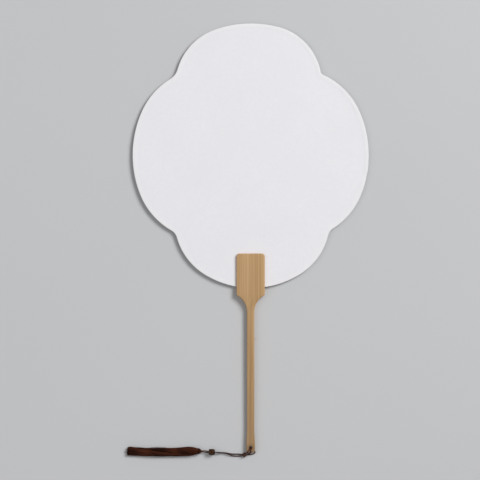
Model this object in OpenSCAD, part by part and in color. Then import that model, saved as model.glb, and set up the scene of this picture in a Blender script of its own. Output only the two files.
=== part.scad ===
// Flat paper fan with a four-lobed face, a one-piece bamboo handle and a tassel, lying on a surface.
// Millimetres. +Y runs from the butt of the handle to the top of the face, +Z is up from the surface.
// The origin is on the surface, in the middle of the fan's length and width, without its cord and tassel.

/* [Face] */
// Width of the face across the two side lobes
face_w = 236; // [225:0.5:250]
// Height of the face from the top lobe to the bottom lobe
face_h = 264.5; // [255:0.5:280]
// Thickness of the stiff card inside
card_t = 0.8; // [0.5:0.1:1.2]
// Thickness of each pasted paper
paper_t = 0.2; // [0.1:0.05:0.3]
// Height of the middle of the side lobes above the bottom of the face
side_up = 133; // [126:0.5:140]
// Radius of the side lobes
side_r = 107.5; // [100:0.5:114]
// Radius of the side lobes near the notches
side_shoulder_r = 72; // [66:0.5:80]
// Half angle of the side lobes' wide arc above its middle
side_turn_up = 24; // [18:1:30]
// Half angle of the side lobes' wide arc below its middle
side_turn_down = 21.5; // [16:0.5:27]
// Radius of the top lobe
top_r = 109; // [104:0.5:118]
// Radius of the top lobe near the notches
top_shoulder_r = 58.5; // [54:0.5:64]
// Half angle of the top lobe's wide arc on the left
top_turn_left = 20; // [16:0.5:24]
// Half angle of the top lobe's wide arc on the right
top_turn_right = 14; // [10:0.5:18]
// Radius of the bottom lobe
bottom_r = 90.5; // [86:0.5:98]
// Radius of the bottom lobe near the notches
bottom_shoulder_r = 63.5; // [58:0.5:70]
// Half angle of the bottom lobe's wide arc
bottom_turn = 31.5; // [26:0.5:36]
// How far the top lobe sits to the right of the middle
top_shift = 0.5; // [-2:0.5:2]
// How far the bottom lobe sits to the right of the middle
bottom_shift = 1.5; // [-2:0.5:2]
// Radius in the top left notch
notch_top_left_r = 18; // [8:1:22]
// Radius in the top right notch, which was cut sharper
notch_top_right_r = 4; // [3:0.5:12]
// Radius in the two bottom notches
notch_bottom_r = 11.5; // [5:0.5:16]

/* [Rim strip] */
// Width of the folded paper strip on each side of the face
strip_w = 3.5; // [2:0.5:6]
// Thickness of the strip's paper
strip_t = 0.15; // [0.08:0.01:0.2]
// Length of the lap where the strip's ends meet on the right
lap_l = 10; // [5:1:20]
// Height of the lap's lower end above the bottom of the face
lap_up = 115.5; // [100:0.5:130]

/* [Handle] */
// Length of the handle from butt to the top of its head
handle_l = 198.5; // [170:0.5:230]
// How far the head reaches up over the face
head_overlap = 34.5; // [25:0.5:37]
// Width of the head
head_w = 28.3; // [24:0.1:34]
// Length of the head's straight sides, from the top edge
head_side_l = 40.4; // [39:0.1:50]
// Thickness of the head
head_t = 7; // [6:0.1:9]
// Radius of the head's top corners
head_top_r = 3; // [1:0.5:6]
// Radius of the head's lower corners
head_low_r = 2; // [1:0.5:4]
// Radius of the hollow neck under the head
neck_r = 19; // [15:0.5:28]
// Width of the grip
grip_w = 7.5; // [6:0.1:10]
// Thickness of the grip under the neck
grip_t = 5.4; // [4.8:0.1:6]
// Width of the butt
butt_w = 8.8; // [8:0.1:11]
// Thickness of the butt
butt_t = 4; // [3.6:0.1:4]
// Length over which the grip widens to the butt
flare_l = 18; // [10:1:30]
// Distance from the butt's end to where it is full width
butt_l = 6; // [5.5:0.5:12]
// Radius of the butt's corners
butt_r = 1.5; // [0.5:0.1:2]
// Radius on the handle's long edges
edge_r = 1.1; // [0.5:0.1:1.4]
// Room for paste on each side of the face in the slot
paste_gap = 0.05; // [0.02:0.01:0.1]
// Room under the face at the bottom of the slot
slot_gap = 0.35; // [0.2:0.05:0.6]

/* [Cord hole] */
// Diameter of the cross hole in the butt
hole_d = 3.3; // [3.2:0.1:3.6]
// Distance from the butt's end to the hole's centre
hole_up = 4.2; // [4:0.1:5]

/* [Cord] */
// Diameter of the cord
cord_d = 1.2; // [1:0.05:1.25]
// Diameter of the turn that grips the cord's two legs
turn_d = 3.9; // [3:0.1:3.9]

/* [Knot and tassel] */
// Diameter of the button knot
knot_d = 7; // [6:0.1:7]
// Room between pieces of the cord that turn on each other
swivel_gap = 0.25; // [0.15:0.05:0.4]
// Length of the two strands between the knot and the tassel's head
link_l = 6.6; // [4:0.2:10]
// Diameter of the tassel's bound head
bind_d = 6.4; // [5:0.1:6.4]
// Length of the bound head
bind_l = 5; // [4:0.5:8]
// Radius of the round top of the bound head
dome_r = 2.4; // [2:0.1:2.6]
// Length of the loose strands
skirt_l = 67.5; // [50:0.5:90]
// Width of the skirt as it lies
skirt_w = 9.8; // [8:0.1:12]
// Height of the skirt as it lies
skirt_h = 6; // [5:0.1:6.4]
// Depth of the furrows between the skirt's locks
furrow = 0.35; // [0.1:0.05:0.5]

/* [Hidden] */

// Whole length and the heights that follow from it
overall_l = face_h + handle_l - head_overlap;
face_top = overall_l / 2;
face_bottom = face_top - face_h;
butt_end = -overall_l / 2;
head_top = butt_end + handle_l;
mid_z = head_t / 2;

// The card, its two papers and the folded strip, one over the other
stack_t = card_t + 2 * paper_t;
rim_t = stack_t + 2 * strip_t;
slot_t = rim_t + 2 * paste_gap;

// How finely arcs are drawn, in degrees a step
arc_step = 3;
// Reach of the tools that cut right through
past = 1;

// Points along the strands of the hitch and the two legs, chosen by hand from the way the cord lies
hitch_left = [
    [-4.3, -215.9, 0.9], [-3.2, -214.6, 0.8], [-1.8, -212.8, 0.75], [-0.9, -211.5, 0.8], [-0.7, -210.7, 1.3],
    [-0.7, -210.4, 2.2], [-0.7, -210.4, 4.6], [-0.7, -210.6, 5.6], [-0.9, -211.2, 6.2], [-1.5, -212, 6.3],
    [-2.6, -213.3, 6.3], [-3.9, -214.9, 5.9], [-4.6, -215.7, 4.8]
];
hitch_right = [
    [-3.6, -217.3, 0.8], [-1.5, -217, 0.7], [1, -216.7, 0.7], [3.2, -216.1, 0.7], [4.4, -215, 0.7],
    [4, -213.6, 0.75], [2.6, -212.4, 0.75], [1.2, -211.5, 0.8], [0.75, -210.7, 1.3], [0.7, -210.4, 2.2],
    [0.7, -210.4, 4.6], [0.65, -210.6, 5.6], [0.5, -211.2, 6.2], [0.3, -212, 6.3], [0.1, -213.4, 6.3],
    [-0.1, -214.7, 5.8], [-0.4, -215.2, 4.4], [-1.4, -215.8, 3.3], [-2.6, -216.5, 3], [-3.5, -217, 2.9]
];
leg_inner = [
    [-6.6, -216.75, 2], [-7.6, -216.75, 2], [-10, -216.55, 1.1], [-12.5, -216.5, 0.7], [-15.5, -216.5, 0.65],
    [-18.5, -216.4, 0.65], [-21.5, -216, 0.65], [-24.5, -215.4, 0.65], [-27.5, -215.1, 0.75],
    [-30.5, -215, 1.35], [-33, -214.7, 2.4], [-34.1, -214.6, 2.85], [-35.1, -214.6, 2.9]
];
leg_outer = [
    [-6.6, -218.05, 2], [-7.6, -218.05, 2], [-10, -218.4, 1.1], [-12.5, -218.5, 0.7], [-15.5, -218.5, 0.65],
    [-17.5, -218.35, 0.8], [-19.5, -217.8, 1.3], [-21.5, -217, 1.8], [-24.5, -215.8, 2],
    [-27.5, -215.15, 2.1], [-30.5, -215, 2.75], [-33, -214.7, 3.9], [-34.1, -214.5, 4.25],
    [-35.1, -214.5, 4.3]
];
// Number of flat sides round a strand
cord_sides = 8;

// Where the turn, the knot and the tassel's head lie beside the fan
turn_x = -6;
turn_y = -217.4;
knot_y = -214.3;
tassel_y = -213.4;
// Room under the pieces that lie beside the fan
floor_gap = 0.05;
leg_end = leg_inner[len(leg_inner) - 1][0];
turn_at = [turn_x, turn_y, turn_d / 2 + floor_gap];
knot_at = [leg_end - swivel_gap - knot_d / 2, knot_y, knot_d / 2 + floor_gap];
neck_at = [knot_at[0] - knot_d / 2 - link_l - dome_r, tassel_y, bind_d / 2 + floor_gap];

// A lobe of the outline: its direction, the centre of its wide arc, the two radii and the two half angles
function lobe(dir, centre, wide_r, shoulder_r, before, after) =
    [dir, centre, wide_r, shoulder_r, before, after];
function on_circle(centre, r, a) = centre + r * [cos(a), sin(a)];
function shoulder_centre(l, a) = on_circle(l[1], l[2] - l[3], a);
function first_shoulder(l) = shoulder_centre(l, l[0] - l[4]);
function last_shoulder(l) = shoulder_centre(l, l[0] + l[5]);
function angle_to(p, q) = atan2(q[1] - p[1], q[0] - p[0]);

// Where a circle about p meets a circle about q, on the outer side of the outline
function meet(p, rp, q, rq) =
    let(
        d = norm(q - p),
        along = (d * d + rp * rp - rq * rq) / (2 * d),
        aside = sqrt(rp * rp - along * along),
        u = (q - p) / d
    )
    p + along * u + aside * [u[1], -u[0]];

// Points of an arc after its first one, turning left to a later angle or right to an earlier one
function turn_left(a, b) = a + ((b - a) % 360 + 360) % 360;
function turn_right(a, b) = a - ((a - b) % 360 + 360) % 360;
function arc(centre, r, a, b) =
    let(steps = max(2, ceil(abs(b - a) / arc_step)))
    [for (i = [1 : steps]) on_circle(centre, r, a + (b - a) * i / steps)];

side_y = face_bottom + side_up;
LOBES = [
    lobe(0, [face_w / 2 - side_r, side_y], side_r, side_shoulder_r, side_turn_down, side_turn_up),
    lobe(90, [top_shift, face_top - top_r], top_r, top_shoulder_r, top_turn_right, top_turn_left),
    lobe(180, [side_r - face_w / 2, side_y], side_r, side_shoulder_r, side_turn_up, side_turn_down),
    lobe(270, [bottom_shift, face_bottom + bottom_r], bottom_r, bottom_shoulder_r, bottom_turn, bottom_turn)
];
NOTCHES = [notch_top_right_r, notch_top_left_r, notch_bottom_r, notch_bottom_r];
count = len(LOBES);

// Centre of the notch that follows lobe i
function notch_centre(i) =
    let(l = LOBES[i], m = LOBES[(i + 1) % count], f = NOTCHES[i])
    meet(last_shoulder(l), l[3] + f, first_shoulder(m), m[3] + f);

// One lobe and the notch after it, moved inwards by inset
function lobe_points(i, inset) =
    let(
        l = LOBES[i],
        m = LOBES[(i + 1) % count],
        s = first_shoulder(l),
        e = last_shoulder(l),
        from = notch_centre((i + count - 1) % count),
        to = notch_centre(i),
        start = angle_to(s, from),
        wide_a = turn_left(start, l[0] - l[4]),
        wide_b = wide_a + l[4] + l[5],
        end = turn_left(wide_b, angle_to(e, to)),
        dip_a = angle_to(to, e)
    )
    concat(
        arc(s, l[3] - inset, start, wide_a),
        arc(l[1], l[2] - inset, wide_a, wide_b),
        arc(e, l[3] - inset, wide_b, end),
        arc(to, NOTCHES[i] + inset, dip_a, turn_right(dip_a, angle_to(to, first_shoulder(m))))
    );
function outline(inset) = [for (i = [0 : count - 1]) each lobe_points(i, inset)];

// A flat slab of the face's shape, centred on height z
module slab(inset, t, z = mid_z) {
    translate([0, 0, z - t / 2])
        linear_extrude(t)
            polygon(outline(inset));
}

module face_card() {
    color("burlywood") slab(strip_t, card_t);
}

// side is 1 for the front and -1 for the back
module paper(side) {
    slab(strip_t, paper_t, mid_z + side * (card_t + paper_t) / 2);
}

module front_paper() {
    color("whitesmoke") paper(1);
}

module back_paper() {
    color("gainsboro") paper(-1);
}

// The strip folded round the rim; layer 1 lies on layer 0
module strip_layer(layer) {
    difference() {
        slab(-layer * strip_t, stack_t + 2 * (layer + 1) * strip_t);
        slab((1 - layer) * strip_t, stack_t + 2 * layer * strip_t);
        slab(strip_w, head_t);
    }
}

module rim_strip() {
    color("white") {
        strip_layer(0);
        intersection() {
            strip_layer(1);
            translate([face_w / 4, face_bottom + lap_up, 0])
                cube([face_w / 2, lap_l, head_t]);
        }
    }
}

// Half width of the handle where the hollow neck runs into the grip, and the arcs that lead to it
head_hw = head_w / 2;
grip_hw = grip_w / 2;
butt_hw = butt_w / 2;
corner_y = head_top - head_side_l;
neck_dx = grip_hw + neck_r - head_hw + head_low_r;
neck_dy = sqrt(pow(neck_r + head_low_r, 2) - neck_dx * neck_dx);
neck_y = corner_y - neck_dy;
neck_a = atan2(neck_dy, neck_dx);
flare_top = butt_end + butt_l + flare_l;

// The handle's outline on its right side, from the butt to the top of the head
function ease(u) = (1 - cos(180 * u)) / 2;
flare_steps = 6;
corner_steps = 4;
neck_steps = 8;
HANDLE_SIDE = concat(
    [for (i = [0 : corner_steps]) let(a = 90 * i / corner_steps)
        [butt_hw - butt_r + butt_r * sin(a), butt_end + butt_r * (1 - cos(a))]],
    [for (i = [0 : flare_steps]) let(u = i / flare_steps)
        [butt_hw + (grip_hw - butt_hw) * ease(u), butt_end + butt_l + flare_l * u]],
    [for (i = [0 : neck_steps]) let(a = neck_a * i / neck_steps)
        [grip_hw + neck_r * (1 - cos(a)), neck_y + neck_r * sin(a)]],
    [for (i = [1 : corner_steps]) let(a = neck_a * (1 - i / corner_steps))
        [head_hw - head_low_r * (1 - cos(a)), corner_y - head_low_r * sin(a)]],
    [for (i = [0 : corner_steps]) let(a = 90 * i / corner_steps)
        [head_hw - head_top_r * (1 - cos(a)), head_top - head_top_r + head_top_r * sin(a)]]
);

// Thickness along the handle: even in the head, thinner through the neck, then tapering to the butt
function handle_t(y) =
    y >= corner_y ? head_t :
    y >= neck_y ? grip_t + (head_t - grip_t) * ease((y - neck_y) / neck_dy) :
    y >= flare_top ? butt_t + (grip_t - butt_t) * (y - flare_top) / (neck_y - flare_top) :
    butt_t;
// Rounding of the two ends in thickness
function end_trim(y) =
    let(in = edge_r - min(edge_r, y - butt_end, head_top - y))
    edge_r - sqrt(edge_r * edge_r - in * in);

// A rounded rectangle across the handle
function handle_ring(hw, y) =
    let(ht = handle_t(y) / 2 - end_trim(y), r = min(edge_r, 0.9 * ht, 0.9 * hw))
    [for (q = [0 : 3], i = [0 : corner_steps])
        let(
            a = 90 * (q + i / corner_steps),
            cx = (q < 2 ? 1 : -1) * (hw - r),
            cz = (q == 0 || q == 3 ? 1 : -1) * (ht - r)
        )
        [cx + r * sin(a), y, mid_z + cz + r * cos(a)]];

// A closed solid through rings of points that turn left about the way they run
module loft(rings) {
    n = len(rings[0]);
    last = len(rings) - 1;
    sides = [
        for (i = [0 : last - 1], j = [0 : n - 1])
            let(k = (j + 1) % n, a = i * n, b = a + n)
            each [[a + j, b + j, b + k], [a + j, b + k, a + k]]
    ];
    caps = [[for (j = [0 : n - 1]) j], [for (j = [n - 1 : -1 : 0]) last * n + j]];
    polyhedron([for (ring = rings) each ring], concat(sides, caps));
}

module handle() {
    color("tan")
        difference() {
            loft([for (p = HANDLE_SIDE) handle_ring(p[0], p[1])]);
            translate([-head_w, face_bottom - slot_gap, mid_z - slot_t / 2])
                cube([2 * head_w, head_overlap + slot_gap + past, slot_t]);
            translate([0, butt_end + hole_up, -past])
                cylinder(h = head_t + 2 * past, d = hole_d, $fn = 48);
        }
}

// A round tube along a route; its rings are carried along so that they never twist
function unit(v) = v / norm(v);
function way(route, i) =
    unit(route[min(i + 1, len(route) - 1)] - route[max(i - 1, 0)]);
function square_to(v, t) = unit(v - (v * t) * t);
// The first ring starts from a direction that no route runs along
nearly_up = [0.1, 0.2, 1];
function normals(route) =
    [for (
        i = 0, v = square_to(nearly_up, way(route, 0));
        i < len(route);
        i = i + 1, v = i < len(route) ? square_to(v, way(route, i)) : v
    ) v];
module tube(route, d) {
    side = normals(route);
    loft([for (i = [0 : len(route) - 1])
        let(t = way(route, i), v = side[i], w = cross(t, v))
        [for (j = [0 : cord_sides - 1])
            let(a = 360 * j / cord_sides)
            route[i] + d / 2 * (cos(a) * v + sin(a) * w)]]);
}

cord_colour = [0.24, 0.12, 0.1];
silk_colour = [0.2, 0.09, 0.07];

module hitch_loop() {
    color(cord_colour) {
        tube(hitch_left, cord_d);
        tube(hitch_right, cord_d);
    }
}

// The turn is round about the legs that run through it, and its rim is round like the cord
module hitch_turn() {
    color(cord_colour)
        translate(turn_at)
            rotate([0, 90, 0])
                rotate_extrude($fn = 36) {
                    translate([0, -cord_d / 2])
                        square([turn_d / 2 - cord_d / 2, cord_d]);
                    intersection() {
                        translate([turn_d / 2 - cord_d / 2, 0])
                            circle(d = cord_d, $fn = 24);
                        translate([0, -cord_d])
                            square([turn_d, 2 * cord_d]);
                    }
                }
}

module cord_leg_inner() {
    color(cord_colour) tube(leg_inner, cord_d);
}

module cord_leg_outer() {
    color(cord_colour) tube(leg_outer, cord_d);
}

module button_knot() {
    color(cord_colour)
        translate(knot_at)
            sphere(d = knot_d, $fn = 48);
}

// Two short strands from the knot to the tassel's head, one over the other and this far from the middle
link_rise = 0.7;
module link_loop() {
    a = angle_to(knot_at, neck_at);
    along = [cos(a), sin(a), 0];
    from = knot_at + knot_d / 2 * along;
    to = neck_at - (dome_r + swivel_gap) * along;
    color(cord_colour)
        for (up = [-link_rise, link_rise])
            tube([for (u = [0, 0.5, 1])
                let(p = from + u * (to - from))
                [p[0], p[1], neck_at[2] + up]], cord_d);
}

// The bound head turns against the link about the centre of its round top
head_base = neck_at[0] - bind_l;
dome_steps = 8;
function bind_r(u) = dome_r + (bind_d / 2 - dome_r) * sin(90 * u);
module tassel_head() {
    shoulder = [for (i = [corner_steps : -1 : 0]) let(u = i / corner_steps) [bind_r(u), bind_l * u]];
    dome = [for (i = [1 : dome_steps]) let(a = 90 * i / dome_steps) dome_r * [cos(a), -sin(a)]];
    color(silk_colour)
        translate(neck_at)
            rotate([0, -90, 0])
                rotate_extrude($fn = 48)
                    polygon(concat([[0, bind_l]], shoulder, dome));
}

// The skirt spreads from its bound head, lies in a slight bow and thins at its cut end
skirt_rings = 18;
skirt_points = 36;
locks = 9;
locks_twist = 120;
// Share of the length over which the skirt spreads to its full width
spread_share = 0.2;
// How much lower the skirt is than the bound head at one end, and how much it thins at the other
skirt_step = 0.3;
skirt_thinning = 1.2;
skirt_bow = 1;
function skirt_full(u) = ease(min(1, u / spread_share));
function skirt_wide(u) = bind_d + (skirt_w - bind_d) * skirt_full(u);
function skirt_high(u) = bind_d - skirt_step + (skirt_h - bind_d) * u - skirt_thinning * pow(u, 3);
function skirt_side(u) = -skirt_bow * sin(180 * u);
function skirt_ring(i) =
    let(
        u = i / (skirt_rings - 1),
        w = skirt_wide(u) / 2,
        h = skirt_high(u) / 2
    )
    [for (j = [0 : skirt_points - 1])
        let(
            a = 360 * j / skirt_points,
            cut = 1 - furrow / w * skirt_full(u) * (1 + cos(locks * a + locks_twist * u)) / 2,
            z = floor_gap + h * (1 + cut * cos(a))
        )
        [head_base - skirt_l * u, neck_at[1] + skirt_side(u) + w * cut * sin(a), z]];
module tassel_skirt() {
    color(silk_colour)
        loft([for (i = [0 : skirt_rings - 1]) skirt_ring(i)]);
}

face_card();
front_paper();
back_paper();
rim_strip();
handle();
hitch_loop();
hitch_turn();
cord_leg_inner();
cord_leg_outer();
button_knot();
link_loop();
tassel_head();
tassel_skirt();
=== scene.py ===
import math

import bmesh
import bpy
import numpy as np
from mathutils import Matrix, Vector
from mathutils.geometry import delaunay_2d_cdt


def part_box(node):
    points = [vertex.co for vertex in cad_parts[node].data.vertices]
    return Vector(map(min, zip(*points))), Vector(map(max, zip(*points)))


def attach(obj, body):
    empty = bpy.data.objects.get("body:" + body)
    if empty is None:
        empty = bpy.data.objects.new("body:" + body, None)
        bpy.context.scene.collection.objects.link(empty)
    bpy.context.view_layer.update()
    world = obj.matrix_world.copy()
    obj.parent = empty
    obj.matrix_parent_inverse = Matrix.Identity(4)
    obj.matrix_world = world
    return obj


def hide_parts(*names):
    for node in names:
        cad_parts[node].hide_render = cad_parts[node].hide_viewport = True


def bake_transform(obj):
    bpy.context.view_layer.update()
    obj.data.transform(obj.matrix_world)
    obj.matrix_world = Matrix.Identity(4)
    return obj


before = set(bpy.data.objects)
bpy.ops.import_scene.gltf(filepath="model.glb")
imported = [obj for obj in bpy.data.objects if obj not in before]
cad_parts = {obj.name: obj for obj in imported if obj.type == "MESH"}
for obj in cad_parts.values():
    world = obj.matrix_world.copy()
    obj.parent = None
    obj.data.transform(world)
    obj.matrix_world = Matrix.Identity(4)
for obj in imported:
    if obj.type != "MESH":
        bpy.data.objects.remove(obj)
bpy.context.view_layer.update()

MM = 0.001
TURN, QUARTER = 2 * math.pi, math.pi / 2
UP = np.array([0.0, 0.0, 1.0])
# Keeps a cross product with UP from being nothing
NUDGE = 1e-6

# Places in the frame, in metres
face_low, face_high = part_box("front_paper")
card_low, card_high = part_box("face_card")
handle_low, handle_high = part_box("handle")
knot_low, knot_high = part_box("button_knot")
head_low, head_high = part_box("tassel_head")
MID_Z = (card_low.z + card_high.z) / 2
FACE_MIDDLE = np.array([0.0, (face_low.y + face_high.y) / 2])
KNOT_AT = np.array((knot_low + knot_high) / 2)

# Sizes that the solids have too
CARD_T, PAPER_T = 0.8 * MM, 0.2 * MM
STRIP_W, STRIP_T = 3.5 * MM, 0.15 * MM
RIM_HALF = CARD_T / 2 + PAPER_T + STRIP_T
LAP_LOW, LAP_HIGH = 65.25 * MM, 75.25 * MM
SLOT_T, SLOT_GAP = 1.6 * MM, 0.35 * MM
HOLE_D, HOLE_Y = 3.3 * MM, handle_low.y + 4.2 * MM
CORD_D = 1.2 * MM
DOME_R = 2.4 * MM

# How far the floor lies under the part
FLOOR_GAP = 0.05 * MM

# The photograph's frame: 480 mm across, seen straight from above
VIEW_WIDTH = 0.48
VIEW_MIDDLE = (-0.0106, -0.00225)
LENS_MM, SENSOR_MM = 300, 36
CLIP_NEAR, CLIP_FAR = 0.05, 60


def smooth_step(x):
    x = np.clip(x, 0, 1)
    return x * x * (3 - 2 * x)


def lengths(v):
    return np.linalg.norm(v, axis=-1)


def unit(v):
    return v / np.maximum(lengths(v)[..., None], 1e-12)


def closed_way(line):
    """The direction of a closed line at each of its points."""
    return unit(np.roll(line, -1, axis=0) - np.roll(line, 1, axis=0))


def outward(way):
    """The directions out of a face, from those along its edge."""
    return np.stack([way[:, 1], -way[:, 0]], 1)


def bearing(xy):
    return np.arctan2(xy[:, 1], xy[:, 0])


def round_angles(count, start=0):
    return TURN * (np.arange(count) + start) / count


def through(points, closed=False, pieces=12):
    """A smooth curve through the points, as many more points on it."""
    p = np.asarray(points, float)
    if closed:
        p = np.vstack([p[-1], p, p[0], p[1]])
    else:
        p = np.vstack([2 * p[0] - p[1], p, 2 * p[-1] - p[-2]])
    found = []
    for a, b, c, d in zip(p[:-3], p[1:-2], p[2:-1], p[3:]):
        t1 = math.sqrt(np.linalg.norm(b - a))
        t2 = t1 + math.sqrt(np.linalg.norm(c - b))
        t3 = t2 + math.sqrt(np.linalg.norm(d - c))
        t = np.linspace(t1, t2, pieces, endpoint=False)[:, None]
        ab = ((t1 - t) * a + t * b) / t1
        bc = ((t2 - t) * b + (t - t1) * c) / (t2 - t1)
        cd = ((t3 - t) * c + (t - t2) * d) / (t3 - t2)
        abc = ((t2 - t) * ab + t * bc) / t2
        bcd = ((t3 - t) * bc + (t - t1) * cd) / (t3 - t1)
        found.append(((t2 - t) * abc + (t - t1) * bcd) / (t2 - t1))
    if not closed:
        found.append(p[-2:-1])
    return np.vstack(found)


def evenly(points, count, closed=False):
    """Points along a line, the same distance apart."""
    p = np.vstack([points, points[:1]]) if closed else np.asarray(points)
    along = np.concatenate([[0], np.cumsum(lengths(np.diff(p, axis=0)))])
    at = np.linspace(0, along[-1], count, endpoint=not closed)
    return np.stack([np.interp(at, along, p[:, k]) for k in range(p.shape[1])], 1)


def length_of(points):
    return float(lengths(np.diff(points, axis=0)).sum())


WANDER_SHARES, WANDER_REACH = (1, 1.7, 2.9), 1.9


def wander(along, wave, amount, seed):
    """A slow swing of about amount, never repeating, along a line."""
    draw = np.random.default_rng(seed)
    total = 0
    for share in WANDER_SHARES:
        total = total + np.sin(TURN * share * along / wave + draw.uniform(0, TURN)) / share
    return amount * total / WANDER_REACH


SHARP_DEG = 35


def placed(name, data):
    thing = bpy.data.objects.new(name, data)
    bpy.context.scene.collection.objects.link(thing)
    return thing


def mesh_object(name, points, faces, sharp_deg=SHARP_DEG):
    mesh = bpy.data.meshes.new(name)
    mesh.from_pydata(np.reshape(points, (-1, 3)).tolist(), [], [list(map(int, f)) for f in faces])
    shape = bmesh.new()
    shape.from_mesh(mesh)
    bmesh.ops.recalc_face_normals(shape, faces=shape.faces)
    shape.to_mesh(mesh)
    shape.free()
    mesh.shade_smooth()
    mesh.set_sharp_from_angle(angle=math.radians(sharp_deg))
    return placed(name, mesh)


def grid_faces(rows, columns, close_rows=False):
    """Quads over rows of points, each row closed."""
    r = np.arange(rows if close_rows else rows - 1)[:, None]
    c = np.arange(columns)[None, :]
    r2, c2 = (r + 1) % rows, (c + 1) % columns
    corners = np.broadcast_arrays(r * columns + c, r2 * columns + c, r2 * columns + c2, r * columns + c2)
    return np.stack(corners, -1).reshape(-1, 4).tolist()


def loft_faces(rows, columns):
    """Quads round a closed tube of rings, and a cap at each end."""
    caps = [list(range(columns)), [(rows - 1) * columns + c for c in range(columns)]]
    return grid_faces(rows, columns) + caps


def joined(parts):
    """Several (points, faces) as one."""
    points, faces, base = [], [], 0
    for p, f in parts:
        points.append(np.reshape(p, (-1, 3)))
        faces += [[i + base for i in face] for face in f]
        base += len(points[-1])
    return np.vstack(points), faces


def carried_normals(way):
    """A direction square to the way at each point, carried along so that it never twists."""
    v = np.cross(way[0], UP) + NUDGE
    found = []
    for t in way:
        v = unit(v - (v @ t) * t)
        found.append(v)
    return np.array(found)


# Shares of the radius: the furrow between plies, and the very end of a cord and of a strand
FURROW, CORD_END, STRAND_END = 0.64, 0.45, 0.5
# Share of the diameter over which a cord's end rounds off
CORD_ROUND = 0.35
CORD_LAY, RINGS_IN_LAY, FEWEST_RINGS = 3.4 * MM, 18, 8


def ply_reach(angle, plies):
    """Reach of a bundle of round plies at an angle, as a share of the whole radius."""
    ply = 1 / (1 + 1 / math.sin(math.pi / plies))
    off = (angle + math.pi / plies) % (TURN / plies) - math.pi / plies
    across = np.sqrt(np.maximum(ply ** 2 - ((1 - ply) * np.sin(off)) ** 2, 0))
    return np.maximum((1 - ply) * np.cos(off) + across, FURROW)


def twisted_cord(line, diameter, plies=3, lay=CORD_LAY, around=18, start_turn=0):
    """A cord of twisted plies along a line: its points and faces."""
    count = max(FEWEST_RINGS, int(length_of(line) / (lay / RINGS_IN_LAY)))
    line = evenly(line, count)
    way = unit(np.gradient(line, axis=0))
    n = carried_normals(way)
    b = np.cross(way, n)
    along = np.linspace(0, length_of(line), count)
    from_end = np.minimum(along, along[-1] - along) / (CORD_ROUND * diameter)
    taper = CORD_END + (1 - CORD_END) * np.sqrt(np.clip(from_end, 0, 1))
    angle = round_angles(around)
    reach = ply_reach(angle, plies) * diameter / 2
    turned = angle + (start_turn + TURN * along / lay)[:, None]
    ring = np.cos(turned)[..., None] * n[:, None] + np.sin(turned)[..., None] * b[:, None]
    points = line[:, None] + (reach * taper[:, None])[..., None] * ring
    return points, loft_faces(count, around)


def thin_strands(paths, radii, sides=5):
    """Many thin round strands at once, from paths of strands x rings x 3."""
    way = unit(np.gradient(paths, axis=1))
    side = unit(np.cross(way, UP) + NUDGE)
    top = np.cross(side, way)
    strands, rings = paths.shape[:2]
    angle = round_angles(sides)
    taper = np.ones(rings)
    taper[[0, -1]] = STRAND_END
    reach = np.reshape(radii, (strands, -1)) * taper
    ring = np.cos(angle)[:, None] * side[:, :, None] + np.sin(angle)[:, None] * top[:, :, None]
    points = paths[:, :, None] + reach[:, :, None, None] * ring
    one = loft_faces(rings, sides)
    faces = [[i + s * rings * sides for i in f] for s in range(strands) for f in one]
    return points, faces


# Sockets of a Mix node for colours: its share, both colours and the result
MIX_IN, MIX_OUT = (0, 6, 7), 2


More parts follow.
